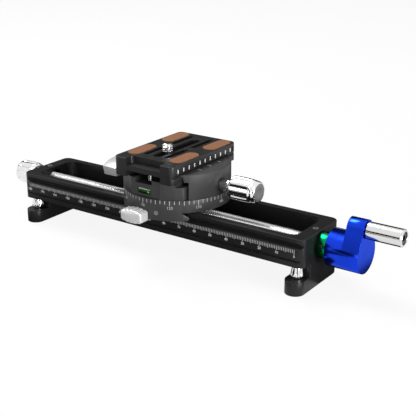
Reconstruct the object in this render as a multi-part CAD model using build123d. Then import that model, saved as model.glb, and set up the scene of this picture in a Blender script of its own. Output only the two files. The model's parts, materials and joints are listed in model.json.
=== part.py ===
from build123d import *
import os
from math import cos, pi, sin, sqrt

os.makedirs("parts", exist_ok=True)

# Macro focusing rail. Millimetres. X runs along the rail to the crank, Y to the back, Z up.
# The origin is the centre of the rail's underside.

FIT = 0.06  # radial running fit between a shaft and its bore
GAP = 0.3  # clearance between other moving faces
FAR = 60.0  # beyond everything on the carriage
HUB_SIDES = 16  # flats round a small hidden rod
NECK_SIDES = 28  # flats round a visible neck

# Rail
RAIL_HALF_LENGTH = 95.0
RAIL_HALF_WIDTH = 19.0
RAIL_TOP = 15.1
RAIL_CORNER = 4.0
RAIL_CHAMFER = 0.35
LOWER_GROOVE = (2.76, 4.18)
LOWER_GROOVE_DEPTH = 0.8
V_MOUTH = (9.56, 13.11)
V_ROOT = (10.9, 11.2)
V_DEPTH = 2.0
POCKET_X = (-87.2, 88.0)
POCKET_HALF_WIDTH = 14.6
POCKET_CORNER = 4.5
POCKET_FLOOR = 3.0
SOCKET_RADIUS = 3.175

# Lead screw, which runs in the end walls
SCREW_Z = 7.5
SCREW_RADIUS = 4.0
JOURNAL_RADIUS = 3.0
SCREW_THREAD_X = (-90.0, 87.0)
JOURNAL_X = (-95.4, 95.75)
WELL_X = -90.5
WELL_RADIUS = 6.0

# Collar, crank and handle
COLLAR_X = (95.75, 101.4)
COLLAR_RADIUS = 6.87
DRUM_X = (101.4, 119.6)
DRUM_RADIUS = 9.92
ARM_X0 = 110.5
LOBE_Z = 20.4
LOBE_RADIUS = 5.2
HANDLE_X = (119.9, 138.6)
HANDLE_RADIUS = 4.5
HANDLE_PIN_RADIUS = 2.0
HANDLE_PIN_X = (119.6, 138.1)
HANDLE_HEAD_RADIUS = 3.0
HANDLE_HEAD_X = 136.8
HEX_RADIUS = 1.6
HEX_DEPTH = 1.0

# Fluted grips: share of one flute's pitch, and share of the flute's depth there
FLUTE_SHAPE = ((0.0, 0.0), (0.24, 0.0), (0.46, 1.0), (0.78, 1.0))

# Left end knob: distance along X and radius
END_KNOB = ((-115.2, 5.0), (-114.2, 6.5), (-112.6, 7.1), (-102.6, 7.1), (-101.4, 6.4))
END_KNOB_FLUTES = 10
END_KNOB_DEPTH = 0.08
END_KNOB_HUB_RADIUS = 5.0

# Feet and levelling
FOOT_X = 89.4
FOOT_WIDTH = 10.5
FOOT_LENGTH = 42.2
FOOT_Z = (-14.9, -7.3)
PEDESTAL_HALF_LENGTH = 10.0
LEVEL_Y = 14.0
NUT = ((-5.9, 3.5), (-0.3, 2.45))
NUT_NECK_RADIUS = 2.8
NUT_NECK_Z = -7.1
NUT_NECK_SIDES = 12
NUT_FLUTES = 8
NUT_FLUTE_DEPTH = 0.16
PIN_RADIUS = 1.6
PIN_Z = (-14.9, -2.2)

# Carriage
CARRIAGE_X = 5.2
CARRIAGE_RADIUS = 29.5
BASE_Z = (15.4, 22.25)
CLAW_BOTTOM = 10.9
CLAW = ((20.1, 10.9), (19.5, 12.0), (19.5, 12.6), (22.6, 15.4), (22.6, 16.4))
STRIP = ((19.5, 12.55), (17.6, 11.45), (17.6, 10.95), (20.07, 10.95), (19.5, 12.0))
STRIP_HALF_LENGTH = 15.0
POST_RADIUS = 6.0
POST_TOP = 26.95
RETAINER_RADIUS = 7.8
RETAINER_Z = (26.95, 28.4)
NUT_BLOCK_HALF = (15.0, 6.5)
NUT_BLOCK_BOTTOM = 3.3
LOCK_X = 1.0
LOCK_Z = 12.7
LOCK_SCREW_RADIUS = 1.5
LOCK_SCREW_Y = (-29.5, -22.2)

# Clamp body and jaw
CLAMP_Z = (22.45, 36.3)
CLAMP_CHAMFER = 0.5
FACET_Y = -27.9
CHANNEL_FLOOR = 31.9
SLOT_X = (-2.1, 9.3)
SLOT_FLOOR = 29.45
SIDE_FLOOR_X = 21.7
RECESS_HALF = 8.1
RECESS_Z = 26.8
JAW_CUT_X = (25.5, 27.1)
JAW_LIP_BOTTOM = 32.1
LEFT_TOOTH = ((0.35, 31.9), (0.35, 35.1), (-0.75, 35.95), (-0.75, 36.3))
RIGHT_TOOTH = ((1.0, 32.1), (0.35, 35.1), (-0.75, 35.95), (-0.75, 36.3))
VIAL_X = (-0.2, 8.1)
VIAL_Z = 25.4
VIAL_RADIUS = 1.3
VIAL_Y = -26.5
VIAL_ROOM = 0.2
KEY_Y = 14.0
KEY_HALF = 1.5
KEY_END = 28.9
KEY_FIT = 0.1
CLAMP_SCREW_Z = 27.1
CLAMP_SCREW_RADIUS = 2.2
CLAMP_SCREW_X = (17.2, 34.95)
RING_X = (25.9, 26.7)
RING_RADIUS = 3.7
PAN_LOCK_Z = 24.6
PAN_SCREW_RADIUS = 2.0
PAN_SCREW_X = (-24.6, -1.2)

# Clamp knob: distance along X and radius
CLAMP_NECK_X = (34.95, 41.3)
CLAMP_NECK_RADIUS = 3.7
CLAMP_KNOB = ((41.3, 5.3), (42.6, 6.4), (48.0, 6.7), (54.6, 6.5), (56.0, 6.2))
CLAMP_KNOB_FLUTES = 8
CLAMP_KNOB_DEPTH = 0.13
CLAMP_CAP_X = (56.0, 57.8)
CLAMP_CAP_RADIUS = 5.73

# Wing knobs
WING_HALF_LENGTH = 6.9
WING_MID = 3.8
WING_TIP = 2.65
WING_TEETH = 5
WING_NOTCH = 0.55
WING_EASE = 1.2
WING_FRONT_SCALE = 0.92
LOCK_WING_Y = (-36.2, -29.5)
PAN_WING_X = (-42.9, -33.0)
PAN_WING_LEAN = 12.0
PAN_NECK_X = -24.6
PAN_NECK_RADIUS = 3.0

# Quick-release plate
PLATE_X = (-14.1, 24.5)
PLATE_Y = (-30.4, 28.9)
PLATE_Z = (32.3, 42.37)
PLATE_CORNER = 3.0
PLATE_GROOVE = ((0.0, 35.2), (1.1, 36.0), (1.1, 36.4), (0.0, 37.15))
BAND_Y = (-26.5, 26.5)
BAND_Z = (37.7, 40.4)
BAND_DEPTH = 0.5
RELIEF_X = (-5.8, 16.7)
RELIEF_TOP = 35.7
RELIEF_BACK_Y = 22.0
STEP_Y = -25.0
STEP_FLOOR = 38.5
STEP_CORNER = 1.2
STEP_REACH = 10.0
SLOT_HALF = 2.7
SLOT_Y = (-19.4, 19.4)
SIDE_SLOT_X = (-1.9, 11.5)
SIDE_SLOT_WIDTH = 2.8
SIDE_SLOT_Y = ((-18.8, 0.5), (4.8, 23.7))
PAD_WIDTH = 8.0
PAD_RISE = 0.4
END_STEPS = 7
PADS = {
    "pad_left_front": (-8.6, -22.9, -2.6),
    "pad_left_back": (-8.6, 6.9, 27.5),
    "pad_right_front": (19.4, -23.3, -2.4),
    "pad_right_back": (19.6, 6.5, 27.3),
}
STOP_PIN = (7.4, -26.4)
STOP_PIN_RADIUS = 1.0
STOP_PIN_BOTTOM = 31.6

# Camera screw and the washer that slides with it
CAMERA_SCREW = (5.2, -8.5)
CAMERA_SCREW_RADIUS = 3.175
CAMERA_NECK_RADIUS = 2.3
CAMERA_SCREW_Z = (42.6, 47.1)
CAMERA_HEAD_RADIUS = 6.0
CAMERA_HEAD_Z = (32.4, 34.7)
WASHER_HALF = 6.6
WASHER_Z = (34.8, 35.5)


def bar(x0, x1, y0, y1, z0, z1):
    """A straight block between two corners."""
    middle = Pos((x0 + x1) / 2, (y0 + y1) / 2, (z0 + z1) / 2)
    return middle * Box(x1 - x0, y1 - y0, z1 - z0)


def rod_x(x0, x1, y, z, r):
    """A round rod along X."""
    return Pos((x0 + x1) / 2, y, z) * Rot(0, 90, 0) * Cylinder(r, x1 - x0)


def rod_y(y0, y1, x, z, r):
    """A round rod along Y."""
    return Pos(x, (y0 + y1) / 2, z) * Rot(90, 0, 0) * Cylinder(r, y1 - y0)


def rod_z(z0, z1, x, y, r):
    """A round rod along Z."""
    return Pos(x, y, (z0 + z1) / 2) * Cylinder(r, z1 - z0)


def outline_x(points, x):
    """A closed Y-Z outline at one place along X."""
    return Plane.YZ.offset(x) * make_face(Polyline(*points, close=True))


def outline_y(points, y):
    """A closed X-Z outline at one place along Y."""
    return Plane.XZ.offset(-y) * make_face(Polyline(*points, close=True))


def prism_x(points, x0, x1):
    """A Y-Z outline drawn out along X."""
    return extrude(outline_x(points, x0), amount=x1 - x0)


def prism_y(points, y0, y1):
    """An X-Z outline drawn out along Y."""
    return extrude(outline_y(points, y1), amount=y1 - y0)


def slot_z(width, length, x, y, z0, z1):
    """A round-ended block that is long along Y."""
    outline = Rot(0, 0, 90) * SlotOverall(length, width)
    return extrude(Pos(x, y, z0) * outline, amount=z1 - z0)


def mirrored(points):
    """The same outline on the other side of the middle."""
    return [(-p[0], p[1]) for p in points]


def banded(sections):
    """A solid with flat sides through outlines of the same shape."""
    faces = [Face(Wire.make_polygon(sections[0])), Face(Wire.make_polygon(sections[-1]))]
    for low, high in zip(sections, sections[1:]):
        for i in range(len(low)):
            faces.append(Face(Wire.make_polygon([low[i - 1], low[i], high[i], high[i - 1]])))
    return Solid(Shell(faces))


def fluted(stations, lobes, depth):
    """A fluted grip along X through stations of distance and radius."""
    sections = []
    for x, radius in stations:
        points = []
        for i in range(lobes):
            for share, drop in FLUTE_SHAPE:
                a = 2 * pi * (i + share) / lobes
                r = radius * (1 - depth * drop)
                points.append((x, r * cos(a), r * sin(a)))
        sections.append(points)
    return banded(sections)


def faceted_x(x0, x1, y, z, radius, sides):
    """A many-sided rod along X."""
    face = Plane.YZ.offset(x0) * Pos(y, z) * RegularPolygon(radius, sides)
    return extrude(face, amount=x1 - x0)


def stadium(width, x, y0, y1, steps):
    """Points round a strip along Y whose ends are rounded in short flats."""
    points = []
    radius = width / 2
    for end, centre in ((1, y1 - radius), (-1, y0 + radius)):
        for i in range(steps + 1):
            a = pi * i / steps
            points.append((x + end * radius * cos(a), centre + end * radius * sin(a)))
    return make_face(Polyline(*points, close=True))


def wing(y0, y1, notch):
    """A wing knob along Y with a slightly smaller front face; a notch parts its teeth."""
    top = []
    for i in range(WING_TEETH):
        for share, drop in ((0.0, 1.0), (0.22, 0.0), (0.78, 0.0)):
            t = 2 * (i + share) / WING_TEETH - 1
            z = WING_MID - (WING_MID - WING_TIP) * t * t - notch * drop
            top.append((t * WING_HALF_LENGTH, z))
    top.append((WING_HALF_LENGTH, WING_TIP - notch))
    points = top + [(-x, -z) for x, z in top]
    sections = []
    for y, scale in ((y0, WING_FRONT_SCALE), (y0 + WING_EASE, 1.0), (y1, 1.0)):
        sections.append([(x * scale, y, z * scale) for x, z in points])
    return banded(sections)


def top_edges(solid):
    """The edges round a solid's top face."""
    return solid.faces().sort_by(Axis.Z)[-1].edges()


def save(name, solid):
    """Writes one piece."""
    export_step(solid, f"parts/{name}.step")


# Rail body: rounded bar with two grooves in each side and a deep pocket in the top
rail = extrude(RectangleRounded(2 * RAIL_HALF_LENGTH, 2 * RAIL_HALF_WIDTH, RAIL_CORNER), amount=RAIL_TOP)
rail = chamfer(top_edges(rail), RAIL_CHAMFER)
edge = RAIL_HALF_WIDTH
v_groove = [
    (edge + 1, V_MOUTH[0] - 0.67),
    (edge, V_MOUTH[0]),
    (edge - V_DEPTH, V_ROOT[0]),
    (edge - V_DEPTH, V_ROOT[1]),
    (edge, V_MOUTH[1]),
    (edge + 1, V_MOUTH[1]),
]
small_groove = [
    (edge + 1, LOWER_GROOVE[0]),
    (edge - LOWER_GROOVE_DEPTH, LOWER_GROOVE[0]),
    (edge - LOWER_GROOVE_DEPTH, LOWER_GROOVE[1]),
    (edge + 1, LOWER_GROOVE[1]),
]
for shape in (v_groove, small_groove):
    rail -= prism_x(shape, -RAIL_HALF_LENGTH - 1, RAIL_HALF_LENGTH + 1)
    rail -= prism_x(mirrored(shape), -RAIL_HALF_LENGTH - 1, RAIL_HALF_LENGTH + 1)
pocket_length = POCKET_X[1] - POCKET_X[0]
pocket_outline = RectangleRounded(pocket_length, 2 * POCKET_HALF_WIDTH, POCKET_CORNER)
pocket_middle = (POCKET_X[0] + POCKET_X[1]) / 2
rail -= extrude(Pos(pocket_middle, 0, POCKET_FLOOR) * pocket_outline, amount=RAIL_TOP)
rail -= rod_x(-RAIL_HALF_LENGTH - 1, RAIL_HALF_LENGTH + 1, 0, SCREW_Z, JOURNAL_RADIUS + FIT)
rail -= rod_x(WELL_X, POCKET_X[0] + 1, 0, SCREW_Z, WELL_RADIUS)
rail -= rod_z(-1, POCKET_FLOOR + 1, 0, 0, SOCKET_RADIUS)
save("rail_body", rail)

# Lead screw with a journal at each end
lead_screw = rod_x(*SCREW_THREAD_X, 0, SCREW_Z, SCREW_RADIUS)
lead_screw += rod_x(*JOURNAL_X, 0, SCREW_Z, JOURNAL_RADIUS)
save("lead_screw", lead_screw)

# Lock collar
save("lock_collar", rod_x(*COLLAR_X, 0, SCREW_Z, COLLAR_RADIUS))

# Crank: drum with a teardrop arm
crank = rod_x(*DRUM_X, 0, SCREW_Z, DRUM_RADIUS)
crank += rod_x(ARM_X0, DRUM_X[1], 0, LOBE_Z, LOBE_RADIUS)
reach = LOBE_Z - SCREW_Z
lean = (DRUM_RADIUS - LOBE_RADIUS) / reach
run = sqrt(1 - lean * lean)
flank = [
    (DRUM_RADIUS * run, SCREW_Z + DRUM_RADIUS * lean),
    (LOBE_RADIUS * run, LOBE_Z + LOBE_RADIUS * lean),
    (-LOBE_RADIUS * run, LOBE_Z + LOBE_RADIUS * lean),
    (-DRUM_RADIUS * run, SCREW_Z + DRUM_RADIUS * lean),
]
crank += prism_x(flank, ARM_X0, DRUM_X[1])
save("crank_body", crank)

# Handle pin with a hex socket head, and the sleeve that turns on it
handle_pin = rod_x(*HANDLE_PIN_X, 0, LOBE_Z, HANDLE_PIN_RADIUS)
handle_pin += rod_x(HANDLE_HEAD_X, HANDLE_PIN_X[1], 0, LOBE_Z, HANDLE_HEAD_RADIUS)
hexagon = Plane.YZ.offset(HANDLE_PIN_X[1] - HEX_DEPTH) * Pos(0, LOBE_Z) * RegularPolygon(HEX_RADIUS, 6)
handle_pin -= extrude(hexagon, amount=HEX_DEPTH + 1)
save("handle_pin", handle_pin)
handle = rod_x(*HANDLE_X, 0, LOBE_Z, HANDLE_RADIUS)
handle -= rod_x(HANDLE_X[0] - 1, HANDLE_X[1] + 1, 0, LOBE_Z, HANDLE_PIN_RADIUS + FIT)
handle -= rod_x(HANDLE_HEAD_X - GAP, HANDLE_X[1] + 1, 0, LOBE_Z, HANDLE_HEAD_RADIUS + GAP)
save("crank_handle", handle)

# Left end knob
end_knob = Pos(0, 0, SCREW_Z) * fluted(END_KNOB, END_KNOB_FLUTES, END_KNOB_DEPTH)
end_knob += faceted_x(END_KNOB[-1][0], JOURNAL_X[0], 0, SCREW_Z, END_KNOB_HUB_RADIUS, HUB_SIDES)
save("end_knob", end_knob)

# Feet with pedestals, levelling nuts and pins
for side, label in ((-1, "left"), (1, "right")):
    x = side * FOOT_X
    half = FOOT_WIDTH / 2
    foot = slot_z(FOOT_WIDTH, FOOT_LENGTH, x, 0, *FOOT_Z)
    foot += bar(x - half, x + half, -PEDESTAL_HALF_LENGTH, PEDESTAL_HALF_LENGTH, FOOT_Z[0] + 1, 0)
    for y, place in ((-LEVEL_Y, "front"), (LEVEL_Y, "back")):
        foot -= rod_z(FOOT_Z[0] - 1, FOOT_Z[1] + 1, x, y, PIN_RADIUS + FIT)
        nut = fluted(NUT, NUT_FLUTES, NUT_FLUTE_DEPTH)
        nut += faceted_x(NUT_NECK_Z, NUT[0][0], 0, 0, NUT_NECK_RADIUS, NUT_NECK_SIDES)
        nut -= rod_x(-FAR, FAR, 0, 0, PIN_RADIUS + FIT)
        save(f"level_nut_{label}_{place}", Pos(x, y, 0) * Rot(0, -90, 0) * nut)
        save(f"level_pin_{label}_{place}", rod_z(*PIN_Z, x, y, PIN_RADIUS))
    save(f"foot_{label}", foot)

# Carriage base: disc with two claws that hook round the rail's flanges
base = rod_z(*BASE_Z, CARRIAGE_X, 0, CARRIAGE_RADIUS)
claw = [(FAR, CLAW_BOTTOM), *CLAW, (FAR, CLAW[-1][1])]
skirt = rod_z(CLAW_BOTTOM, CLAW[-1][1], CARRIAGE_X, 0, CARRIAGE_RADIUS)
for points in (claw, mirrored(claw)):
    base += skirt & prism_x(points, -FAR, FAR)
base -= rod_y(-FAR, 0, LOCK_X, LOCK_Z, LOCK_SCREW_RADIUS + FIT)
save("carriage_base", base)

# Guide strips on the claws, which run in the rail's grooves
for name, points in (("guide_strip_back", STRIP), ("guide_strip_front", mirrored(STRIP))):
    save(name, prism_x(points, CARRIAGE_X - STRIP_HALF_LENGTH, CARRIAGE_X + STRIP_HALF_LENGTH))

# Lead nut block under the base
nut_block = bar(
    CARRIAGE_X - NUT_BLOCK_HALF[0],
    CARRIAGE_X + NUT_BLOCK_HALF[0],
    -NUT_BLOCK_HALF[1],
    NUT_BLOCK_HALF[1],
    NUT_BLOCK_BOTTOM,
    BASE_Z[0],
)
nut_block -= rod_x(-FAR, FAR, 0, SCREW_Z, SCREW_RADIUS + FIT)
save("lead_nut", nut_block)

# Pan post and its retaining disc
save("pan_post", rod_z(BASE_Z[1], POST_TOP, CARRIAGE_X, 0, POST_RADIUS))
retainer = Pos(CARRIAGE_X, 0, RETAINER_Z[0]) * RegularPolygon(RETAINER_RADIUS, HUB_SIDES)
save("pan_retainer", extrude(retainer, amount=RETAINER_Z[1] - RETAINER_Z[0]))

# Front wing knob with its screw
save("carriage_lock_knob", Pos(LOCK_X, 0, LOCK_Z) * wing(*LOCK_WING_Y, WING_NOTCH))
lock_screw = faceted_x(*LOCK_SCREW_Y, -LOCK_X, LOCK_Z, LOCK_SCREW_RADIUS, HUB_SIDES)
save("carriage_lock_screw", Rot(0, 0, 90) * lock_screw)

# Left wing knob on the clamp body, with its neck and screw
pan_wing = Rot(0, 0, -90) * wing(*PAN_WING_X, 0.0)
pan_wing = Pos(0, 0, PAN_LOCK_Z) * Rot(PAN_WING_LEAN, 0, 0) * pan_wing
pan_wing += faceted_x(PAN_WING_X[1], PAN_NECK_X, 0, PAN_LOCK_Z, PAN_NECK_RADIUS, NECK_SIDES)
save("pan_lock_knob", pan_wing)
save("pan_lock_screw", faceted_x(*PAN_SCREW_X, 0, PAN_LOCK_Z, PAN_SCREW_RADIUS, HUB_SIDES))

# Clamp body: upper drum with a dovetail channel, front facet and level pocket
full_drum = rod_z(*CLAMP_Z, CARRIAGE_X, 0, CARRIAGE_RADIUS)
full_drum = chamfer(top_edges(full_drum), CLAMP_CHAMFER)
left_wall = [(PLATE_X[0] - d, z) for d, z in LEFT_TOOTH]
right_wall = [(PLATE_X[1] + d, z) for d, z in RIGHT_TOOTH]
channel = [*left_wall, (left_wall[-1][0], FAR), (FAR, FAR), (FAR, CHANNEL_FLOOR)]
body = full_drum - bar(JAW_CUT_X[0], FAR, -FAR, FAR, 0, FAR)
body -= prism_y(channel, -FAR, FAR)
body -= bar(SIDE_FLOOR_X, FAR, -FAR, FAR, SLOT_FLOOR, FAR)
body -= bar(-FAR, FAR, -FAR, FACET_Y, 0, FAR)
body -= bar(*SLOT_X, -FAR, FAR, SLOT_FLOOR, FAR)
body -= rod_z(CLAMP_Z[0] - 1, RECESS_Z + 1, CARRIAGE_X, 0, POST_RADIUS + FIT)
body -= bar(CARRIAGE_X - RECESS_HALF, CARRIAGE_X + RECESS_HALF, -RECESS_HALF, RECESS_HALF, RECESS_Z, FAR)
body -= rod_x(CARRIAGE_X + RECESS_HALF, FAR, 0, CLAMP_SCREW_Z, CLAMP_SCREW_RADIUS + FIT)
body -= rod_x(-FAR, CARRIAGE_X - POST_RADIUS, 0, PAN_LOCK_Z, PAN_SCREW_RADIUS + FIT)
body -= bar(
    VIAL_X[0] - VIAL_ROOM,
    VIAL_X[1] + VIAL_ROOM,
    -FAR,
    VIAL_Y + VIAL_RADIUS + VIAL_ROOM,
    VIAL_Z - VIAL_RADIUS - VIAL_ROOM,
    VIAL_Z + VIAL_RADIUS + VIAL_ROOM,
)
low = CLAMP_SCREW_Z - KEY_HALF
high = CLAMP_SCREW_Z + KEY_HALF
for y in (-KEY_Y, KEY_Y):
    body += bar(JAW_CUT_X[0], KEY_END, y - KEY_HALF, y + KEY_HALF, low, high)
save("clamp_body", body)
save("level_vial", faceted_x(*VIAL_X, VIAL_Y, VIAL_Z, VIAL_RADIUS, HUB_SIDES))

# Clamp jaw: the right segment of the drum with its dovetail lip
jaw_outline = [(JAW_CUT_X[1], CLAMP_Z[0]), (JAW_CUT_X[1], JAW_LIP_BOTTOM), *right_wall]
jaw_outline += [(FAR, CLAMP_Z[1]), (FAR, CLAMP_Z[0])]
jaw = full_drum & prism_y(jaw_outline, -FAR, FAR)
jaw -= rod_x(0, FAR, 0, CLAMP_SCREW_Z, CLAMP_SCREW_RADIUS + FIT)
room = KEY_HALF + KEY_FIT
for y in (-KEY_Y, KEY_Y):
    jaw -= bar(0, KEY_END + GAP, y - room, y + room, low - KEY_FIT, high + KEY_FIT)
save("clamp_jaw", jaw)

# Clamp knob, and its screw with a retaining ring
knob = Pos(0, 0, CLAMP_SCREW_Z) * fluted(CLAMP_KNOB, CLAMP_KNOB_FLUTES, CLAMP_KNOB_DEPTH)
knob += faceted_x(*CLAMP_NECK_X, 0, CLAMP_SCREW_Z, CLAMP_NECK_RADIUS, NECK_SIDES)
knob += faceted_x(*CLAMP_CAP_X, 0, CLAMP_SCREW_Z, CLAMP_CAP_RADIUS, NECK_SIDES)
save("clamp_knob", knob)
clamp_screw = rod_x(*CLAMP_SCREW_X, 0, CLAMP_SCREW_Z, CLAMP_SCREW_RADIUS)
clamp_screw += faceted_x(*RING_X, 0, CLAMP_SCREW_Z, RING_RADIUS, HUB_SIDES)
save("clamp_screw", clamp_screw)

# Quick-release plate: grooved sides, two prongs at the front, and slots
plate_middle = ((PLATE_X[0] + PLATE_X[1]) / 2, (PLATE_Y[0] + PLATE_Y[1]) / 2)
plate_outline = RectangleRounded(PLATE_X[1] - PLATE_X[0], PLATE_Y[1] - PLATE_Y[0], PLATE_CORNER)
plate = extrude(Pos(*plate_middle, PLATE_Z[0]) * plate_outline, amount=PLATE_Z[1] - PLATE_Z[0])
plate = chamfer(top_edges(plate), RAIL_CHAMFER)
groove = [(PLATE_X[0] - 1, PLATE_GROOVE[0][1] - 0.73)]
groove += [(PLATE_X[0] + d, z) for d, z in PLATE_GROOVE]
groove += [(PLATE_X[0] - 1, PLATE_GROOVE[-1][1])]
plate -= prism_y(groove, -FAR, FAR)
plate -= prism_y([(2 * plate_middle[0] - p[0], p[1]) for p in groove], -FAR, FAR)
plate -= bar(-FAR, PLATE_X[0] + BAND_DEPTH, *BAND_Y, *BAND_Z)
plate -= bar(PLATE_X[1] - BAND_DEPTH, FAR, *BAND_Y, *BAND_Z)
plate -= bar(*RELIEF_X, -FAR, RELIEF_BACK_Y, 0, RELIEF_TOP)
step_middle = (RELIEF_X[0] + RELIEF_X[1]) / 2
step_outline = RectangleRounded(RELIEF_X[1] - RELIEF_X[0], 2 * STEP_REACH, STEP_CORNER)
plate -= extrude(Pos(step_middle, STEP_Y - STEP_REACH, STEP_FLOOR) * step_outline, amount=STEP_REACH)
plate -= extrude(stadium(2 * SLOT_HALF, CAMERA_SCREW[0], *SLOT_Y, END_STEPS), amount=FAR)
for x in SIDE_SLOT_X:
    for y_range in SIDE_SLOT_Y:
        plate -= extrude(stadium(SIDE_SLOT_WIDTH, x, *y_range, END_STEPS), amount=FAR)
save("quick_plate", plate)
save("stop_pin", rod_z(STOP_PIN_BOTTOM, RELIEF_TOP, *STOP_PIN, STOP_PIN_RADIUS))

# Soft pads on the plate's top
for name, (x, y0, y1) in PADS.items():
    outline = stadium(PAD_WIDTH, x, y0, y1, END_STEPS)
    save(name, extrude(Pos(0, 0, PLATE_Z[1]) * outline, amount=PAD_RISE))

# Camera screw with its head in the plate's underside, and the washer that slides with it
head = Pos(*CAMERA_SCREW, CAMERA_HEAD_Z[0]) * RegularPolygon(CAMERA_HEAD_RADIUS, HUB_SIDES)
camera = extrude(head, amount=CAMERA_HEAD_Z[1] - CAMERA_HEAD_Z[0])
camera += rod_z(CAMERA_HEAD_Z[0], CAMERA_SCREW_Z[0], *CAMERA_SCREW, CAMERA_NECK_RADIUS)
camera += rod_z(*CAMERA_SCREW_Z, *CAMERA_SCREW, CAMERA_SCREW_RADIUS)
save("camera_screw", camera)
sx, sy = CAMERA_SCREW
washer = bar(sx - WASHER_HALF, sx + WASHER_HALF, sy - WASHER_HALF, sy + WASHER_HALF, *WASHER_Z)
washer -= rod_z(0, FAR, sx, sy, CAMERA_NECK_RADIUS + FIT)
save("camera_washer", washer)
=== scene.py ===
import json
from math import cos, pi, radians, sin, sqrt

import bmesh
import bpy
from mathutils import Matrix, Vector


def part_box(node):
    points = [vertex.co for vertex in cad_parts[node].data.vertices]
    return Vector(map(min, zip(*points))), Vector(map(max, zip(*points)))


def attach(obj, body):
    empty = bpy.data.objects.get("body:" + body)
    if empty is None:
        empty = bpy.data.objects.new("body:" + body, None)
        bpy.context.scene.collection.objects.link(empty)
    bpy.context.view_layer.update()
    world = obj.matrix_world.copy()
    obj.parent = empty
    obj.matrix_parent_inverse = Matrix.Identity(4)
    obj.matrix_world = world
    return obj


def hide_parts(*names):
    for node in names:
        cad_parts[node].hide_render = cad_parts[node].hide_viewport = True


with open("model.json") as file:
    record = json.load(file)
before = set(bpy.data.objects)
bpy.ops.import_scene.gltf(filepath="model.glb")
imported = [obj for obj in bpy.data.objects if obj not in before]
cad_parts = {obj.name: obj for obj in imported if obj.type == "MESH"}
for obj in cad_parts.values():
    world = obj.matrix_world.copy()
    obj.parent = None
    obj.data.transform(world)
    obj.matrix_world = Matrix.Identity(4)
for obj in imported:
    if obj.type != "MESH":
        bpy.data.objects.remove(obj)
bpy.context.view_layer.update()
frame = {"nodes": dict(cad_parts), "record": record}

# A macro focusing rail. Lengths below are in millimetres and turned into metres by mm().
# X runs along the rail to the crank, Y to the back, Z up, from the centre of the rail's underside.

MM = 0.001


def mm(*values):
    """Millimetres as a point in metres."""
    return Vector([v * MM for v in values])


def box_mm(node):
    """A CAD node's lowest and highest corners, in millimetres."""
    low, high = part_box(node)
    return Vector(low) / MM, Vector(high) / MM


# ---------------------------------------------------------------- materials


class Shader:
    """A node material under construction, with one Principled shader."""

    def __init__(self, name, colour, rough, metal=0.0, specular=0.5):
        self.material = bpy.data.materials.new(name)
        self.material.use_nodes = True
        self.tree = self.material.node_tree
        self.shader = self.tree.nodes["Principled BSDF"]
        self.shader.inputs["Base Color"].default_value = (*colour, 1)
        self.shader.inputs["Roughness"].default_value = rough
        self.shader.inputs["Metallic"].default_value = metal
        self.shader.inputs["Specular IOR Level"].default_value = specular
        self.place = self.add("ShaderNodeTexCoord").outputs["Object"]
        self.height = None

    def add(self, kind, **settings):
        node = self.tree.nodes.new(kind)
        for key, value in settings.items():
            setattr(node, key, value)
        return node

    def link(self, source, target):
        self.tree.links.new(source, target)

    def stretched(self, scale):
        """Object coordinates scaled unevenly, for brushed and turned finishes."""
        mapping = self.add("ShaderNodeMapping")
        mapping.inputs["Scale"].default_value = scale
        self.link(self.place, mapping.inputs["Vector"])
        return mapping.outputs["Vector"]

    def noise(self, scale, detail=3.0, rough=0.5, stretch=None):
        node = self.add("ShaderNodeTexNoise")
        node.inputs["Scale"].default_value = scale
        node.inputs["Detail"].default_value = detail
        node.inputs["Roughness"].default_value = rough
        vector = self.stretched(stretch) if stretch else self.place
        self.link(vector, node.inputs["Vector"])
        return node.outputs["Fac"]

    def ramp(self, value, low, high, start=0.3, end=0.7):
        node = self.add("ShaderNodeMapRange")
        node.inputs["From Min"].default_value = start
        node.inputs["From Max"].default_value = end
        node.inputs["To Min"].default_value = low
        node.inputs["To Max"].default_value = high
        self.link(value, node.inputs["Value"])
        return node.outputs["Result"]

    def tint(self, value, first, second, start=0.3, end=0.7):
        """The base colour drifts between two tones."""
        node = self.add("ShaderNodeValToRGB")
        node.color_ramp.elements[0].position = start
        node.color_ramp.elements[0].color = (*first, 1)
        node.color_ramp.elements[1].position = end
        node.color_ramp.elements[1].color = (*second, 1)
        self.link(value, node.inputs["Fac"])
        self.link(node.outputs["Color"], self.shader.inputs["Base Color"])

    def roughen(self, value, low, high):
        self.link(self.ramp(value, low, high), self.shader.inputs["Roughness"])

    def bump(self, value, strength, distance):
        node = self.add("ShaderNodeBump")
        node.inputs["Strength"].default_value = strength
        node.inputs["Distance"].default_value = distance
        self.link(value, node.inputs["Height"])
        if self.height is not None:
            self.link(self.height, node.inputs["Normal"])
        self.height = node.outputs["Normal"]
        self.link(self.height, self.shader.inputs["Normal"])


def tone(colour, factor):
    """A colour made lighter or darker."""
    return tuple(c * factor for c in colour)


def anodised(name, colour, rough, metal, specular=0.5, edge=(1, 1, 1)):
    """Bead-blasted and anodised aluminium: fine grain, faint drift in tone."""
    s = Shader(name, colour, rough, metal, specular)
    s.shader.inputs["Specular Tint"].default_value = (*edge, 1)
    s.tint(s.noise(90, 4), tone(colour, 0.92), tone(colour, 1.08))
    s.roughen(s.noise(260, 5), rough - 0.03, rough + 0.04)
    s.bump(s.noise(3200, 2), 0.12, 0.00002)
    return s.material


def turned_metal(name, colour, rough, stretch, metal=1.0):
    """Bright metal with fine tool marks running round or along it."""
    s = Shader(name, colour, rough, metal)
    marks = s.noise(900, 4, 0.6, stretch)
    s.tint(s.noise(160, 3), tone(colour, 0.95), tone(colour, 1.04))
    s.roughen(marks, rough * 0.8, rough * 1.25)
    s.bump(marks, 0.1, 0.00001)
    return s.material


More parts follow.
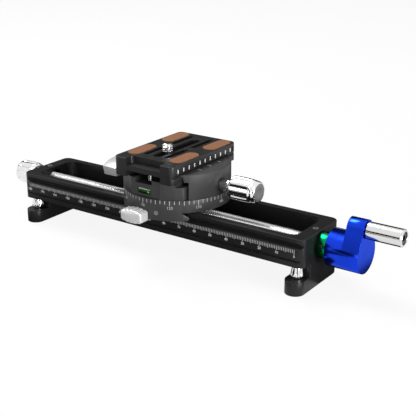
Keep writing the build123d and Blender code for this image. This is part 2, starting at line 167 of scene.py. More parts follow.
def rubbery(name, colour, dark, rough):
    """Rubbered cork: mottled grains with tiny pits."""
    s = Shader(name, colour, rough, 0.0, 0.2)
    cells = s.add("ShaderNodeTexVoronoi")
    cells.inputs["Scale"].default_value = 1500
    s.link(s.place, cells.inputs["Vector"])
    s.tint(s.noise(1400, 5, 0.65), dark, colour, 0.25, 0.6)
    s.roughen(s.noise(700, 4), rough - 0.08, rough + 0.06)
    s.bump(cells.outputs["Distance"], 0.35, 0.00005)
    s.bump(s.noise(2600, 3), 0.3, 0.00004)
    return s.material


def paint(name, colour):
    """The thin ink that fills the engraved marks, and the flat pale colour of the painted highlight
    on the vial.
    """
    s = Shader(name, colour, 0.55)
    s.tint(s.noise(2500, 3), tone(colour, 0.85), colour)
    s.bump(s.noise(4000, 2), 0.2, 0.00001)
    return s.material


def clear(name, colour, rough, ior):
    """Glass or liquid with faint flow lines."""
    s = Shader(name, colour, rough)
    s.shader.inputs["Transmission Weight"].default_value = 1.0
    s.shader.inputs["IOR"].default_value = ior
    s.tint(s.noise(300, 2), tone(colour, 0.94), colour)
    s.bump(s.noise(500, 2), 0.05, 0.00001)
    return s.material


RAIL_BLACK = (0.012, 0.012, 0.0124)
RAIL_ROUGH = 0.36
RAIL_SPECULAR = 0.2
CARRIAGE_BLACK = (0.042, 0.042, 0.0428)
# The plate's black: darker than the carriage's, painted shade for its sides
PLATE_SHADED_BLACK = (0.016, 0.016, 0.0164)
CARRIAGE_SPECULAR = 0.3
BLUE = (0.010, 0.048, 0.66)
BLUE_EDGE = (0.6, 0.7, 1.0)
GREEN = (0.004, 0.24, 0.07)
GREEN_EDGE = (0.1, 1.0, 0.4)
# How tool marks stretch: along X, along the handle's length, or even
ALONG_X = (0.05, 1, 1)
CHROME_GRAIN = (0.08, 1, 1)
ROUND_X = (1, 0.04, 0.04)
FACED = (1, 0.05, 0.05)
EVEN = (1, 1, 1)
MATERIALS = {
    "rail": anodised("rail_anodised", RAIL_BLACK, RAIL_ROUGH, 0.0, RAIL_SPECULAR),
    "rail_dark": anodised("foot_anodised", RAIL_BLACK, RAIL_ROUGH, 0.0, RAIL_SPECULAR),
    "steel": turned_metal("bright_steel", (0.66, 0.66, 0.66), 0.2, ALONG_X),
    # Black steel; the collar holes also use it as painted shade
    "dark_steel": turned_metal("black_steel_and_hole_shade", (0.06, 0.06, 0.06), 0.34, ALONG_X),
    "chrome": turned_metal("bright_chrome", (0.82, 0.82, 0.82), 0.09, CHROME_GRAIN),
    "brass": turned_metal("brass", (0.62, 0.45, 0.18), 0.3, ALONG_X),
    "green": anodised("green_anodised", GREEN, 0.2, 1.0, edge=GREEN_EDGE),
    "blue": anodised("blue_anodised", BLUE, 0.2, 1.0, edge=BLUE_EDGE),
    "silver": turned_metal("satin_silver", (0.72, 0.72, 0.71), 0.12, ROUND_X),
    "carriage": anodised("carriage_anodised", CARRIAGE_BLACK, 0.42, 0.0, CARRIAGE_SPECULAR),
    "polymer": anodised("black_polymer", (0.02, 0.02, 0.02), 0.5, 0.0),
    "pad": rubbery("pad_cork", (0.27, 0.125, 0.065), (0.17, 0.075, 0.04), 0.85),
    "vial": clear("vial_glass", (0.55, 0.95, 0.25), 0.03, 1.47),
}
MARKS = paint("scale_ink", (0.42, 0.42, 0.42))
BRIGHT_MARKS = paint("white_ink", (0.80, 0.80, 0.80))
LEVEL_LIQUID = anodised("level_liquid", (0.004, 0.045, 0.003), 0.1, 0.0)
LEVEL_BUBBLE = anodised("level_bubble", (0.10, 0.80, 0.05), 0.15, 0.0)
# A pale colour for the painted highlight on the vial's glass
VIAL_PAINTED_HIGHLIGHT = paint("vial_highlight_paint", (0.75, 0.78, 0.75))
KNOB_FACE = turned_metal("knob_face", (0.24, 0.24, 0.24), 0.5, FACED)

# Finishes that differ from their slot's: the wings and set screws as the photographed pieces do,
# and the plate a darker copy of the carriage finish, painted shade that keeps its sides dark under
# the side light
PLATE_SHADED_FINISH = anodised("plate_anodised_shaded", PLATE_SHADED_BLACK, 0.36, 0.0, CARRIAGE_SPECULAR)
WING_FINISH = turned_metal("wing_metal", (0.8, 0.8, 0.8), 0.22, CHROME_GRAIN, 0.35)
SET_SCREW_FINISH = turned_metal("set_screw_metal", (0.2, 0.2, 0.2), 0.35, EVEN, 0.3)

# Every CAD node gets the material of its slot in the record; the plate gets a darker copy of its
# finish, painted shade
for part in frame["record"]["subparts"]:
    node = frame["nodes"][part["node"]]
    node.data.materials.clear()
    node.data.materials.append(MATERIALS[part["material_slot"]])
frame["nodes"]["quick_plate"].data.materials[0] = PLATE_SHADED_FINISH


# Machined blocks get their broken edges: the width of each, in millimetres
EDGE_BREAK = {
    "rail_body": 0.22,
    "foot_left": 0.35,
    "foot_right": 0.35,
    "carriage_base": 0.15,
    "clamp_body": 0.15,
    "clamp_jaw": 0.15,
    "quick_plate": 0.22,
    "crank_body": 0.4,
    "lock_collar": 0.35,
}
WELD_DISTANCE = 0.001
EDGE_ANGLE = 40
for name, width in EDGE_BREAK.items():
    node = frame["nodes"][name]
    weld = node.modifiers.new("weld", "WELD")
    weld.merge_threshold = WELD_DISTANCE * MM
    bevel = node.modifiers.new("edge_break", "BEVEL")
    bevel.width = width * MM
    bevel.segments = 2
    bevel.limit_method = "ANGLE"
    bevel.angle_limit = radians(EDGE_ANGLE)
    bevel.harden_normals = True


# ---------------------------------------------------------------- meshes


def piece(name, mesh, body, slot, material=None, stands_for=(), angle=32):
    """Adds a mesh to the scene, hangs it on its body and hides the CAD parts it stands for."""
    mesh.materials.append(material or MATERIALS[slot])
    mesh.shade_smooth()
    mesh.set_sharp_from_angle(angle=radians(angle))
    thing = bpy.data.objects.new(name, mesh)
    bpy.context.scene.collection.objects.link(thing)
    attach(thing, body)
    if stands_for:
        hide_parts(*stands_for)
    return thing


def tidied(mesh):
    """Faces turned outwards."""
    bm = bmesh.new()
    bm.from_mesh(mesh)
    bmesh.ops.recalc_face_normals(bm, faces=bm.faces)
    bm.to_mesh(mesh)
    bm.free()
    return mesh


def lofted(name, rings, looped=False):
    """A closed skin over rings of points, capped at each end or looped back to the first ring."""
    mesh = bpy.data.meshes.new(name)
    count = len(rings[0])
    verts = [p for ring in rings for p in ring]
    faces = []
    bands = len(rings) if looped else len(rings) - 1
    for i in range(bands):
        n = (i + 1) % len(rings)
        for j in range(count):
            k = (j + 1) % count
            faces.append((i * count + j, i * count + k, n * count + k, n * count + j))
    if not looped:
        faces.append(tuple(reversed(range(count))))
        faces.append(tuple((len(rings) - 1) * count + j for j in range(count)))
    mesh.from_pydata(verts, [], faces)
    return tidied(mesh)


def along(axis, station, a, b):
    """A point at a station along an axis, with a and b across it."""
    if axis == "x":
        return mm(station, a, b)
    if axis == "y":
        return mm(a, station, b)
    return mm(a, b, station)


def turned(name, axis, centre, stations, around=96, looped=False):
    """A turned part through stations of (place, radius)."""
    rings = []
    for s, radius in stations:
        ring = []
        for j in range(around):
            a = 2 * pi * j / around
            ring.append(along(axis, s, centre[0] + radius * cos(a), centre[1] + radius * sin(a)))
        rings.append(ring)
    return lofted(name, rings, looped)


def thread_rings(axis, start, end, centre, radius, pitch, depth, steps=8, around=40):
    """Rings of a helical thread, run out to the root at both ends."""
    rings = []
    count = int((end - start) / pitch * steps)
    for i in range(count + 1):
        s = start + (end - start) * i / count
        edge = min(s - start, end - s) / (pitch * 0.6)
        ring = []
        for j in range(around):
            a = 2 * pi * j / around
            phase = ((s - start) / pitch - j / around) % 1.0
            crest = min(1.0, max(0.0, 1.5 - abs(phase - 0.5) * 4))
            r = radius - depth * (1 - crest * min(1.0, edge))
            ring.append(along(axis, s, centre[0] + r * cos(a), centre[1] + r * sin(a)))
        rings.append(ring)
    return rings


def plain_rings(axis, centre, stations, around=40):
    """Plain rings through stations of (place, radius)."""
    rings = []
    for s, r in stations:
        ring = []
        for j in range(around):
            a = 2 * pi * j / around
            ring.append(along(axis, s, centre[0] + r * cos(a), centre[1] + r * sin(a)))
        rings.append(ring)
    return rings


def fluted_rings(axis, centre, stations, flutes, groove, per_flute=20):
    """Rings of a fluted grip through stations of (place, radius, flute depth)."""
    rings = []
    around = flutes * per_flute
    for s, radius, depth in stations:
        ring = []
        for j in range(around):
            a = 2 * pi * j / around
            phase = (j / per_flute) % 1.0 - 0.5
            cut = cos(pi * phase / (2 * groove)) ** 2 if abs(phase) < groove else 0.0
            r = radius - depth * cut
            ring.append(along(axis, s, centre[0] + r * cos(a), centre[1] + r * sin(a)))
        rings.append(ring)
    return rings


def joined(name, parts):
    """One mesh from lists of points and faces."""
    verts = []
    faces = []
    for points, polys in parts:
        base = len(verts)
        verts.extend(points)
        faces.extend(tuple(base + i for i in poly) for poly in polys)
    mesh = bpy.data.meshes.new(name)
    mesh.from_pydata(verts, [], faces)
    return tidied(mesh)


# ---------------------------------------------------------------- marks and figures

CUBE_FACES = ((0, 1, 2, 3), (7, 6, 5, 4), (0, 4, 5, 1), (1, 5, 6, 2), (2, 6, 7, 3), (3, 7, 4, 0))


def tick(origin, right, up, width, height, sink, rise):
    """A thin bar on a surface, its top edge at origin, hanging down by height."""
    out = right.cross(up)
    points = []
    for depth in (-sink, rise):
        for across, down in ((-0.5, -1), (0.5, -1), (0.5, 0), (-0.5, 0)):
            points.append(origin + right * (across * width) + up * (down * height) + out * depth)
    return points, CUBE_FACES


def figures(text, size, origin, right, up, rise, sink):
    """Generic figures, centred on origin and lying on a surface."""
    curve = bpy.data.curves.new("figure", "FONT")
    curve.body = text
    curve.size = size
    curve.align_x = "CENTER"
    curve.align_y = "CENTER"
    curve.resolution_u = 2
    curve.extrude = (rise + sink) / 2
    thing = bpy.data.objects.new("figure", curve)
    mesh = bpy.data.meshes.new_from_object(thing)
    out = right.cross(up)
    turn = Matrix((right, up, out)).transposed()
    points = [origin + turn @ v.co + out * ((rise - sink) / 2) for v in mesh.vertices]
    polys = [tuple(p.vertices) for p in mesh.polygons]
    bpy.data.objects.remove(thing)
    bpy.data.curves.remove(curve)
    bpy.data.meshes.remove(mesh)
    return points, polys


INK_RISE = 0.02 * MM
INK_SINK = 0.05 * MM
RIGHT = Vector((1, 0, 0))
BACK = Vector((0, 1, 0))
UP = Vector((0, 0, 1))

# Rail scale: a tick each millimetre and a figure each ten, from 0 at the crank end
RAIL_FRONT_Y = -19.0
SCALE_TOP_Z = 9.35
SCALE_HALF = 90
TICK_LENGTHS = {0: 2.5, 5: 2.2}
TICK_SHORT = 1.8
TICK_WIDTH = 0.36
FIGURE_Z = 5.75
FIGURE_SIZE = 2.0
ticks = []
for i in range(2 * SCALE_HALF + 1):
    top = mm(SCALE_HALF - i, RAIL_FRONT_Y, SCALE_TOP_Z)
    length = TICK_LENGTHS.get(i % 10, TICK_SHORT) * MM
    ticks.append(tick(top, RIGHT, UP, TICK_WIDTH * MM, length, INK_SINK, INK_RISE))
piece("rail_scale_ticks", joined("rail_scale_ticks", ticks), "rail", "silver", MARKS)
numbers = []
for i in range(0, 2 * SCALE_HALF + 1, 10):
    spot = mm(SCALE_HALF - i, RAIL_FRONT_Y, FIGURE_Z)
    numbers.append(figures(str(i), FIGURE_SIZE * MM, spot, RIGHT, UP, INK_RISE, INK_SINK))
piece("rail_scale_figures", joined("rail_scale_figures", numbers), "rail", "silver", BRIGHT_MARKS)

# Degree scale round the carriage base; its zero lies a little off the front
CARRIAGE_X = 5.2
CARRIAGE_RADIUS = 29.5
SCALE_TURN = -1.5
DEGREE_TOP_Z = 22.1
DEGREE_STEP = 5
DEGREE_LENGTHS = {0: 2.6, 15: 2.2}
DEGREE_SHORT = 1.9
DEGREE_WIDTH = 0.36
DEGREE_FIGURE_Z = 18.2
DEGREE_FIGURE_STEP = 30
DEGREE_FIGURE_SIZE = 2.3
FRONT_FIGURE = 90
ticks = []
numbers = []
for i in range(0, 360, DEGREE_STEP):
    a = radians(i + SCALE_TURN)
    out = Vector((sin(a), -cos(a), 0))
    right = Vector((cos(a), sin(a), 0))
    wall = mm(CARRIAGE_X, 0, 0) + out * (CARRIAGE_RADIUS * MM)
    length = DEGREE_LENGTHS.get(i % DEGREE_FIGURE_STEP, DEGREE_SHORT) * MM
    top = wall + mm(0, 0, DEGREE_TOP_Z)
    ticks.append(tick(top, right, UP, DEGREE_WIDTH * MM, length, INK_SINK, INK_RISE))
    if i % DEGREE_FIGURE_STEP == 0:
        spot = wall + mm(0, 0, DEGREE_FIGURE_Z)
        label = str((i + FRONT_FIGURE) % 360)
        size = DEGREE_FIGURE_SIZE * MM
        numbers.append(figures(label, size, spot, right, UP, 2 * INK_RISE, 3 * INK_SINK))
piece("degree_scale_ticks", joined("degree_scale_ticks", ticks), "carriage", "silver", MARKS)
piece("degree_scale_figures", joined("degree_scale_figures", numbers), "carriage", "silver", MARKS)

# Ticks on the band along the plate's right side
BAND_X = 24.0
BAND_TICK_Z = 39.7
BAND_TICK_FIRST_Y = -24.5
BAND_TICK_STEP = 4.83
BAND_TICKS = 11
BAND_TICK_WIDTH = 0.8
BAND_TICK_LENGTH = 2.1
ticks = []
for i in range(BAND_TICKS):
    top = mm(BAND_X, BAND_TICK_FIRST_Y + BAND_TICK_STEP * i, BAND_TICK_Z)
    width, length = BAND_TICK_WIDTH * MM, BAND_TICK_LENGTH * MM
    ticks.append(tick(top, BACK, UP, width, length, INK_SINK, INK_RISE))
piece("plate_ticks", joined("plate_ticks", ticks), "plate", "silver", BRIGHT_MARKS)

# Index marks on the jaw's top
JAW_TOP_Z = 36.3
INDEX_X = 27.6
INDEX_Y = (-9.0, 0.0, 9.0)
INDEX_WIDTH = 0.45
INDEX_LENGTH = 2.4
ticks = []
for y in INDEX_Y:
    spot = mm(INDEX_X, y, JAW_TOP_Z)
    width, length = INDEX_WIDTH * MM, -INDEX_LENGTH * MM
    ticks.append(tick(spot, BACK, -RIGHT, width, length, INK_SINK, INK_RISE))
piece("jaw_index_marks", joined("jaw_index_marks", ticks), "jaw", "silver", BRIGHT_MARKS)

# ---------------------------------------------------------------- screws

SCREW_AXIS = (0, 7.5)
THREAD_X = (-90.0, 87.0)
THREAD_PITCH = 1.25
THREAD_RADIUS = 4.0
THREAD_DEPTH = 0.6
JOURNAL_RADIUS = 3.0
JOURNAL_CHAMFER = 0.3
low, high = box_mm("lead_screw")
journal = (
    (low.x, JOURNAL_RADIUS - JOURNAL_CHAMFER),
    (low.x + JOURNAL_CHAMFER, JOURNAL_RADIUS),
    (THREAD_X[0], JOURNAL_RADIUS),
)
rings = plain_rings("x", SCREW_AXIS, journal)
rings += thread_rings("x", *THREAD_X, SCREW_AXIS, THREAD_RADIUS, THREAD_PITCH, THREAD_DEPTH)
rings += plain_rings("x", SCREW_AXIS, ((THREAD_X[1], JOURNAL_RADIUS), (high.x, JOURNAL_RADIUS)))
mesh = lofted("lead_screw_thread", rings)
piece("lead_screw_thread", mesh, "lead_screw", "steel", None, ("lead_screw",))

CAMERA_AXIS = (5.2, -8.5)
CAMERA_HEAD_TOP = 34.7
CAMERA_HEAD_RADIUS = 5.85
CAMERA_SHANK_RADIUS = 2.3
CAMERA_THREAD_START = 42.6
# A quarter-inch thread with 20 turns to the inch
QUARTER_INCH_RADIUS = 3.175
QUARTER_INCH_PITCH = 1.27
CAMERA_THREAD_DEPTH = 0.55
CAMERA_AROUND = 48
low, high = box_mm("camera_screw")
head = (
    (low.z, 5.3),
    (low.z + 0.4, CAMERA_HEAD_RADIUS),
    (CAMERA_HEAD_TOP - 0.4, CAMERA_HEAD_RADIUS),
    (CAMERA_HEAD_TOP, 5.4),
    (CAMERA_HEAD_TOP, CAMERA_SHANK_RADIUS),
    (CAMERA_THREAD_START, CAMERA_SHANK_RADIUS),
    (CAMERA_THREAD_START, 2.6),
)
rings = plain_rings("z", CAMERA_AXIS, head, CAMERA_AROUND)
rings += thread_rings(
    "z", CAMERA_THREAD_START, high.z - 0.35, CAMERA_AXIS,
    QUARTER_INCH_RADIUS, QUARTER_INCH_PITCH, CAMERA_THREAD_DEPTH, 10, CAMERA_AROUND,
)
rings += plain_rings("z", CAMERA_AXIS, ((high.z - 0.3, 2.5), (high.z, 2.1)), CAMERA_AROUND)
mesh = lofted("camera_screw_thread", rings)
piece("camera_screw_thread", mesh, "camera_screw", "steel", None, ("camera_screw",))

# ---------------------------------------------------------------- handle

HANDLE_AXIS = (0, 20.4)
SLEEVE_RADIUS = 4.5
SLEEVE_BORE = 2.06
SLEEVE_MOUTH = 3.3
SLEEVE_MOUTH_X = 136.5
low, high = box_mm("crank_handle")
sleeve = (
    (low.x, 4.1),
    (low.x + 0.4, SLEEVE_RADIUS),
    (high.x - 0.6, SLEEVE_RADIUS),
    (high.x - 0.15, 4.1),
    (high.x, 3.95),
    (high.x, 3.45),
    (high.x - 0.15, SLEEVE_MOUTH),
    (SLEEVE_MOUTH_X, SLEEVE_MOUTH),
    (SLEEVE_MOUTH_X, SLEEVE_BORE),
    (low.x, SLEEVE_BORE),
)
mesh = turned("handle_sleeve", "x", HANDLE_AXIS, sleeve, 96, True)
piece("handle_sleeve", mesh, "handle", "silver", None, ("crank_handle",), 30)

# ---------------------------------------------------------------- fluted knobs


def eased(start, end, steps, radius, depth):
    """Stations between two places, with radius and flute depth given as functions of the share."""
    stations = []
    for i in range(steps + 1):
        t = i / steps
        stations.append((start + (end - start) * t, radius(t), depth(t)))
    return stations


def knob_stations(start, end, radius, swell, depth, shoulder):
    """A barrel with rounded shoulders whose flutes run out before each end."""

    def profile(t):
        near = min(t, 1 - t) / shoulder
        ease = sqrt(max(0.0, 1 - (1 - min(1.0, near)) ** 2))
        return radius * (0.82 + 0.18 * ease) + swell * sin(pi * t)

    def flute(t):
        near = min(1.0, min(t, 1 - t) / (shoulder * 1.3))
        return depth * near * near * (3 - 2 * near)

    return eased(start, end, 28, profile, flute)


GROOVE = 0.36
END_GRIP_X = -101.4
END_FLUTES = 10
low, high = box_mm("end_knob")
stations = [(high.x, 4.4, 0), (high.x - 0.3, 4.9, 0), (END_GRIP_X + 0.1, 4.9, 0)]
stations += knob_stations(END_GRIP_X, low.x + 0.1, 6.95, 0.14, 0.95, 0.16)
rings = fluted_rings("x", SCREW_AXIS, stations, END_FLUTES, GROOVE)
mesh = lofted("end_knob_grip", rings)
piece("end_knob_grip", mesh, "lead_screw", "chrome", None, ("end_knob",), 50)

CLAMP_AXIS = (0, 27.1)
CLAMP_GRIP_X = (41.3, 55.4)
CLAMP_FLUTES = 8
FACE_AROUND = 64
low, high = box_mm("clamp_knob")
stations = [(low.x, 3.5, 0), (low.x + 0.25, 3.7, 0), (40.6, 3.7, 0), (40.8, 3.4, 0), (41.2, 3.4, 0)]
stations += knob_stations(*CLAMP_GRIP_X, 6.4, 0.3, 1.0, 0.14)
stations += [(55.6, 6.1, 0), (57.3, 5.75, 0), (high.x - 0.05, 5.2, 0)]
rings = fluted_rings("x", CLAMP_AXIS, stations, CLAMP_FLUTES, GROOVE)
disc = (
    (high.x - 0.1, 4.9),
    (high.x - 0.02, 4.9),
    (high.x, 4.85),
    (high.x, 2.2),
    (high.x - 0.03, 2.1),
)
mesh = turned("clamp_knob_face", "x", CLAMP_AXIS, disc, FACE_AROUND)
piece("clamp_knob_face", mesh, "jaw_screw", "chrome", KNOB_FACE)
mesh = lofted("clamp_knob_grip", rings)
piece("clamp_knob_grip", mesh, "jaw_screw", "chrome", None, ("clamp_knob",), 40)

# A levelling nut's grip: height, radius and flute depth
NUT_BORE = 1.66
NUT_FLUTES = 8
NUT_GRIP = (
    (-6.0, 2.8, 0),
    (-5.9, 3.2, 0),
    (-5.6, 3.5, 0.35),
    (-4.8, 3.4, 0.6),
    (-2.0, 2.85, 0.5),
    (-0.8, 2.6, 0.3),
)
for side in ("left", "right"):
    for end in ("front", "back"):
        node = f"level_nut_{side}_{end}"
        low, high = box_mm(node)
        middle = ((low.x + high.x) / 2, (low.y + high.y) / 2)
        stations = [(low.z, NUT_BORE, 0), (low.z, 2.6, 0), (low.z + 0.2, 2.8, 0), *NUT_GRIP]
        stations += [(high.z, 2.3, 0), (high.z, NUT_BORE, 0)]
        rings = fluted_rings("z", middle, stations, NUT_FLUTES, GROOVE, 12)
        mesh = lofted(f"{node}_grip", rings, True)
        piece(f"{node}_grip", mesh, node, "chrome", None, (node,), 50)

# ---------------------------------------------------------------- wing knobs

WING_HALF = 6.9
WING_MID = 3.8
WING_TIP = 2.65
RIDGES = 5
RIDGE_DEPTH = 0.55
# The turning wing stays clear of the raised ink on the carriage behind it
WING_CLEARANCE = 0.2
# Rounding at a wing's free end: distance from the end, inset and share of the ridges' depth
WING_ROUNDING = ((0.0, 1.0, 0.3), (0.15, 0.55, 0.6), (0.6, 0.12, 1.0), (1.0, 0.0, 1.0))
WING_CHAMFER = 0.3
WING_CHAMFER_INSET = 0.25


def wing_outline(inset, ridge):
    """Across and up points round a wing; its long edges carry rounded ridges."""
    top = []
    steps = RIDGES * 8
    for i in range(steps + 1):
        t = 2 * i / steps - 1
        up = WING_MID - (WING_MID - WING_TIP) * t * t
        up -= ridge * (1 - abs(sin(pi * RIDGES * (t + 1) / 2)) ** 0.5)
        top.append((t * (WING_HALF - inset), up - inset))
    return top + [(-x, -z) for x, z in top]


def wing_rings(stations, ridge):
    """Rings of a wing along Y through stations of (place, inset, ridge share)."""
    rings = []
    for y, inset, share in stations:
        rings.append([mm(x, y, z) for x, z in wing_outline(inset, ridge * share)])
    return rings


def wing_stations(start, end):
    """Stations from the rounded free end to the lightly chamfered other end."""
    stations = [(start + reach, inset, share) for reach, inset, share in WING_ROUNDING]
    return stations + [(end - WING_CHAMFER, 0.0, 1.0), (end, WING_CHAMFER_INSET, 1.0)]


def moved(rings, matrix):
    """Rings carried to their place."""
    return [[matrix @ p for p in ring] for ring in rings]


low, high = box_mm("carriage_lock_knob")
wing_centre = Matrix.Translation(mm((low.x + high.x) / 2, 0, (low.z + high.z) / 2))
stations = wing_stations(low.y, high.y - WING_CLEARANCE)
rings = moved(wing_rings(stations, RIDGE_DEPTH), wing_centre)
mesh = lofted("carriage_lock_wing", rings)
node = "carriage_lock_knob"
piece("carriage_lock_wing", mesh, "carriage_lock", "chrome", WING_FINISH, (node,), 28)

PAN_LOCK_Z = 24.6
PAN_LEAN = 12.0
PAN_WING_X = (-42.9, -33.0)
PAN_NECK_RADIUS = 3.0
low, high = box_mm("pan_lock_knob")
turn = Matrix.Translation(mm(0, 0, PAN_LOCK_Z)) @ Matrix.Rotation(radians(PAN_LEAN), 4, "X")
turn = turn @ Matrix.Rotation(radians(-90), 4, "Z")
rings = moved(wing_rings(wing_stations(*PAN_WING_X), 0.0), turn)
mesh = lofted("pan_lock_wing", rings)
neck = (
    (PAN_WING_X[1] - 0.1, PAN_NECK_RADIUS),
    (high.x - 0.3, PAN_NECK_RADIUS),
    (high.x, PAN_NECK_RADIUS - 0.2),
)
piece("pan_lock_wing", mesh, "pan_lock", "chrome", WING_FINISH, ("pan_lock_knob",), 28)
mesh = turned("pan_lock_neck", "x", (0, PAN_LOCK_Z), neck, 48)
piece("pan_lock_neck", mesh, "pan_lock", "chrome")

# ---------------------------------------------------------------- level

VIAL_RADIUS = 1.25
VIAL_END_RADIUS = 0.9
VIAL_ROUNDING = 0.3
low, high = box_mm("level_vial")
VIAL_AXIS = ((low.y + high.y) / 2, (low.z + high.z) / 2)
liquid = (
    (low.x, VIAL_END_RADIUS),
    (low.x + VIAL_ROUNDING, VIAL_RADIUS),
    (high.x - VIAL_ROUNDING, VIAL_RADIUS),
    (high.x, VIAL_END_RADIUS),
)
mesh = turned("level_liquid", "x", VIAL_AXIS, liquid, 48)
piece("level_liquid", mesh, "clamp", "vial", LEVEL_LIQUID, ("level_vial",))
# The bubble shows at the vial's lower right, a little in front of its axis
BUBBLE_X = (5.4, 7.7)
BUBBLE_SHIFT = (-0.42, -0.2)
BUBBLE_STEPS = 12
BUBBLE_TIP = 0.15
BUBBLE_SWELL = 0.75
bubble = []
for i in range(BUBBLE_STEPS + 1):
    t = i / BUBBLE_STEPS
    place = BUBBLE_X[0] + (BUBBLE_X[1] - BUBBLE_X[0]) * t
    bubble.append((place, BUBBLE_TIP + BUBBLE_SWELL * sqrt(max(0.0, sin(pi * t)))))
bubble_axis = (VIAL_AXIS[0] + BUBBLE_SHIFT[0], VIAL_AXIS[1] + BUBBLE_SHIFT[1])
mesh = turned("level_bubble", "x", bubble_axis, bubble, 32)
piece("level_bubble", mesh, "clamp", "vial", LEVEL_BUBBLE)
# A pale strip along the vial's upper front: a painted highlight standing in for a light's
# reflection on the glass
LINE_LEAN = radians(48)
LINE_WIDTH = 0.5
LINE_SHORTER = 0.9
line_out = Vector((0, -cos(LINE_LEAN), sin(LINE_LEAN)))
line_up = Vector((0, sin(LINE_LEAN), cos(LINE_LEAN)))
spot = mm((low.x + high.x) / 2, *VIAL_AXIS) + line_out * (VIAL_RADIUS * MM)
spot += line_up * (LINE_WIDTH / 2 * MM)
length = (high.x - low.x - LINE_SHORTER) * MM
line = tick(spot, RIGHT, line_up, length, LINE_WIDTH * MM, INK_SINK, INK_RISE)
piece("vial_painted_highlight", joined("vial_painted_highlight", [line]), "clamp", "vial", VIAL_PAINTED_HIGHLIGHT)

# ---------------------------------------------------------------- pads


PAD_STEPS = 24


def pad_mesh(name, node):
    """A round-ended pad with a softly rounded top edge."""
    low, high = box_mm(node)
    half_width = (high.x - low.x) / 2
    straight = (high.y - low.y) / 2 - half_width
    centre = (low + high) / 2
    rings = []
    edge = ((low.z, 0), (high.z - 0.25, 0), (high.z - 0.08, 0.1), (high.z, 0.3), (high.z, 1.2))
    for z, inset in edge:
        ring = []
        r = half_width - inset
        for end in (1, -1):
            for k in range(PAD_STEPS + 1):
                a = pi * k / PAD_STEPS
                x = centre.x + end * r * cos(a)
                y = centre.y + end * (straight + r * sin(a))
                ring.append(mm(x, y, z))
        rings.append(ring)
    return lofted(name, rings)


for side in ("left", "right"):
    for end in ("front", "back"):
        node = f"pad_{side}_{end}"
        piece(f"{node}_cork", pad_mesh(f"{node}_cork", node), "plate", "pad", None, (node,))

# ---------------------------------------------------------------- small set screws


SCREW_AROUND = 36
# A set screw's rings: share of its radius, height in millimetres, and whether the ring is six-sided
SET_SCREW_RINGS = (
    (1.0, -0.3, False),
    (1.0, 0.0, False),
    (0.94, 0.03, False),
    (0.60, 0.03, True),
    (0.55, 0.0, True),
)


def set_screw(name, spot, right, up, radius, body, finish=SET_SCREW_FINISH):
    """A set screw lying flush: a thin rim round a shallow six-sided socket."""
    out = right.cross(up)
    rings = []
    for share, height, six_sided in SET_SCREW_RINGS:
        ring = []
        for j in range(SCREW_AROUND):
            a = 2 * pi * j / SCREW_AROUND
            reach = radius * share
            if six_sided:
                reach *= cos(pi / 6) / cos(a % (pi / 3) - pi / 6)
            across = right * cos(a) + up * sin(a)
            ring.append(spot + across * (reach * MM) + out * (height * MM))
        rings.append(ring)
    piece(name, lofted(name, rings), body, "steel", finish)


RAIL_TOP_Z = 15.1
RAIL_SCREW_X = 91.4
RAIL_SCREW_RADIUS = 1.5
for side, x in (("right", RAIL_SCREW_X), ("left", -RAIL_SCREW_X)):
    spot = mm(x, 0, RAIL_TOP_Z)
    set_screw(f"rail_set_screw_{side}", spot, RIGHT, BACK, RAIL_SCREW_RADIUS, "rail")

CARRIAGE_SCREW_ANGLE = radians(14)
CARRIAGE_SCREW_Z = 15.0
out = Vector((sin(CARRIAGE_SCREW_ANGLE), -cos(CARRIAGE_SCREW_ANGLE), 0))
spot = mm(CARRIAGE_X, 0, CARRIAGE_SCREW_Z) + out * (CARRIAGE_RADIUS * MM)
set_screw("carriage_set_screw", spot, UP.cross(out), UP, 1.25, "carriage")

# Pin-spanner holes in the lock collar, as shallow discs in black steel: painted shade standing in
# for the dark inside of each hole
COLLAR_RADIUS = 6.87
COLLAR_HOLE_X = 97.7
COLLAR_HOLE_RADIUS = 0.9
COLLAR_HOLE_DEGREES = (14, 76, 194, 256)
for i, degrees in enumerate(COLLAR_HOLE_DEGREES):
    out = Vector((0, -cos(radians(degrees)), sin(radians(degrees))))
    spot = mm(COLLAR_HOLE_X, 0, SCREW_AXIS[1]) + out * (COLLAR_RADIUS * MM)
    up = out.cross(RIGHT)
    # The holes' darkness is painted shade in the black steel's colour
    dark = MATERIALS["dark_steel"]
    set_screw(f"collar_hole_{i}", spot, RIGHT, up, COLLAR_HOLE_RADIUS, "lead_screw", dark)

# ---------------------------------------------------------------- floor, light and camera

CAMERA_AZIMUTH = radians(34.71)
CAMERA_ELEVATION = radians(20.09)
CAMERA_ROLL = 0.00197
CAMERA_TARGET = (23.18, 3.55, 10.46)
CAMERA_DISTANCE = 493.36
CAMERA_LENS = 78.15
# The floor lies just under the feet
FLOOR_GAP = 0.02
FLOOR_REACH = 6.0
FLOOR_Z = (box_mm("foot_left")[0].z - FLOOR_GAP) * MM


def seen_directly(tree):
    """1 for camera, glossy and transmission rays, which see the plain background."""
    path = tree.nodes.new("ShaderNodeLightPath")
    seen = None
    for kind in ("Is Camera Ray", "Is Glossy Ray", "Is Transmission Ray"):
        output = path.outputs[kind]
        if seen is not None:
            larger = tree.nodes.new("ShaderNodeMath")
            larger.operation = "MAXIMUM"
            tree.links.new(seen, larger.inputs[0])
            tree.links.new(output, larger.inputs[1])
            output = larger.outputs[0]
        seen = output
    return seen


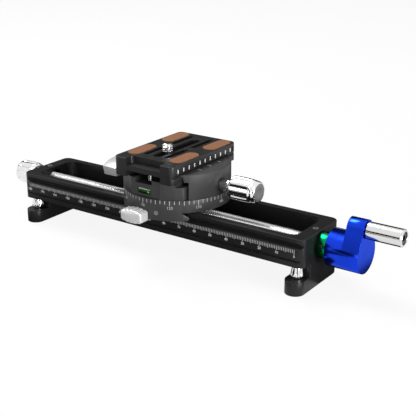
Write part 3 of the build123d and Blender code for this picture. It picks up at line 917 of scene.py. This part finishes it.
def white_stage(name, share_seen):
    """Pale floor that shows as white, with a soft shadow left in."""
    material = bpy.data.materials.new(name)
    material.use_nodes = True
    tree = material.node_tree
    tree.nodes.clear()
    output = tree.nodes.new("ShaderNodeOutputMaterial")
    diffuse = tree.nodes.new("ShaderNodeBsdfDiffuse")
    diffuse.inputs["Color"].default_value = (0.86, 0.86, 0.86, 1)
    glow = tree.nodes.new("ShaderNodeEmission")
    share = tree.nodes.new("ShaderNodeMath")
    share.operation = "MULTIPLY"
    share.inputs[1].default_value = share_seen
    tree.links.new(seen_directly(tree), share.inputs[0])
    mix = tree.nodes.new("ShaderNodeMixShader")
    tree.links.new(share.outputs[0], mix.inputs["Fac"])
    tree.links.new(diffuse.outputs[0], mix.inputs[1])
    tree.links.new(glow.outputs[0], mix.inputs[2])
    tree.links.new(mix.outputs[0], output.inputs["Surface"])
    return material


SHARE_SEEN = 0.9
AMBIENT_LIGHT = 0.22
floor_mesh = bpy.data.meshes.new("floor")
corners = [(-1, -1), (1, -1), (1, 1), (-1, 1)]
corners = [(x * FLOOR_REACH, y * FLOOR_REACH, FLOOR_Z) for x, y in corners]
floor_mesh.from_pydata(corners, [], [(0, 1, 2, 3)])
floor_mesh.materials.append(white_stage("floor_white", SHARE_SEEN))
floor_thing = bpy.data.objects.new("floor", floor_mesh)
bpy.context.scene.collection.objects.link(floor_thing)

world = bpy.data.worlds.new("studio")
world.use_nodes = True
bpy.context.scene.world = world
tree = world.node_tree
background = tree.nodes["Background"]
background.inputs["Color"].default_value = (1, 1, 1, 1)
level = tree.nodes.new("ShaderNodeMapRange")
level.inputs["To Min"].default_value = AMBIENT_LIGHT
level.inputs["To Max"].default_value = 1.0
tree.links.new(seen_directly(tree), level.inputs["Value"])
tree.links.new(level.outputs["Result"], background.inputs["Strength"])


def softbox(name, place, target, width, height, power):
    """A rectangular studio light."""
    data = bpy.data.lights.new(name, "AREA")
    data.shape = "RECTANGLE"
    data.size = width
    data.size_y = height
    data.energy = power
    lamp = bpy.data.objects.new(name, data)
    lamp.location = place
    lamp.rotation_euler = (Vector(target) - Vector(place)).to_track_quat("-Z", "Y").to_euler()
    bpy.context.scene.collection.objects.link(lamp)


def dark_card(name, corners):
    """A black card that only reflections show."""
    mesh = bpy.data.meshes.new(name)
    mesh.from_pydata(corners, [], [(0, 1, 2, 3)])
    s = Shader(name, (0.01, 0.01, 0.01), 0.9, 0.0, 0.0)
    mesh.materials.append(s.material)
    card = bpy.data.objects.new(name, mesh)
    card.visible_camera = False
    card.visible_diffuse = False
    card.visible_shadow = False
    bpy.context.scene.collection.objects.link(card)


# Each light: place, the point it faces, width, height and power
softbox("key", (0.8, -0.6, 1.0), (0, 0, 0), 0.6, 0.6, 4)
softbox("side", (1.2, -0.32, 0.14), (0, 0, 0), 0.5, 0.25, 10)
softbox("front", (0.3, -1.3, 0.2), (0, 0, 0), 0.4, 0.3, 1.5)
softbox("top", (-0.62, 0.1, 1.1), (0.11, 0, 0), 0.6, 0.5, 15)


def upright_corners(left, right, low, high):
    """Corners of a card standing on the line between two points."""
    return ((*left, low), (*right, low), (*right, high), (*left, high))


def flat_corners(x0, x1, y0, y1, z):
    """Corners of a card lying level."""
    return ((x0, y0, z), (x1, y0, z), (x1, y1, z), (x0, y1, z))


# A tall card behind the rail and a lower one in front darken the tops and draw the dark line in
# bright metal; two on the floor keep the front walls and the rail's end face dark
CARD_Z = -0.0145
dark_card("back_card", upright_corners((-1.6, 0.2), (0.5, 1.5), 0.02, 0.9))
dark_card("front_card", upright_corners((-1.2, -1.5), (1.5, -1.5), 0.02, 0.5))
dark_card("floor_card", flat_corners(-0.122, 0.06, -0.5, 0.3, CARD_Z))
dark_card("end_card", flat_corners(0.09, 0.135, 0.0, 0.09, CARD_Z))

camera_data = bpy.data.cameras.new("camera")
camera_data.lens = CAMERA_LENS
camera_data.sensor_width = 36
camera_data.clip_start = 0.01
camera = bpy.data.objects.new("camera", camera_data)
back = Vector((
    sin(CAMERA_AZIMUTH) * cos(CAMERA_ELEVATION),
    -cos(CAMERA_AZIMUTH) * cos(CAMERA_ELEVATION),
    sin(CAMERA_ELEVATION),
))
camera.location = mm(*CAMERA_TARGET) + back * (CAMERA_DISTANCE * MM)
camera.rotation_euler = (-back).to_track_quat("-Z", "Y").to_euler()
camera.rotation_euler.rotate_axis("Z", CAMERA_ROLL)
bpy.context.scene.collection.objects.link(camera)
bpy.context.scene.camera = camera
bpy.context.scene.view_settings.view_transform = "Standard"
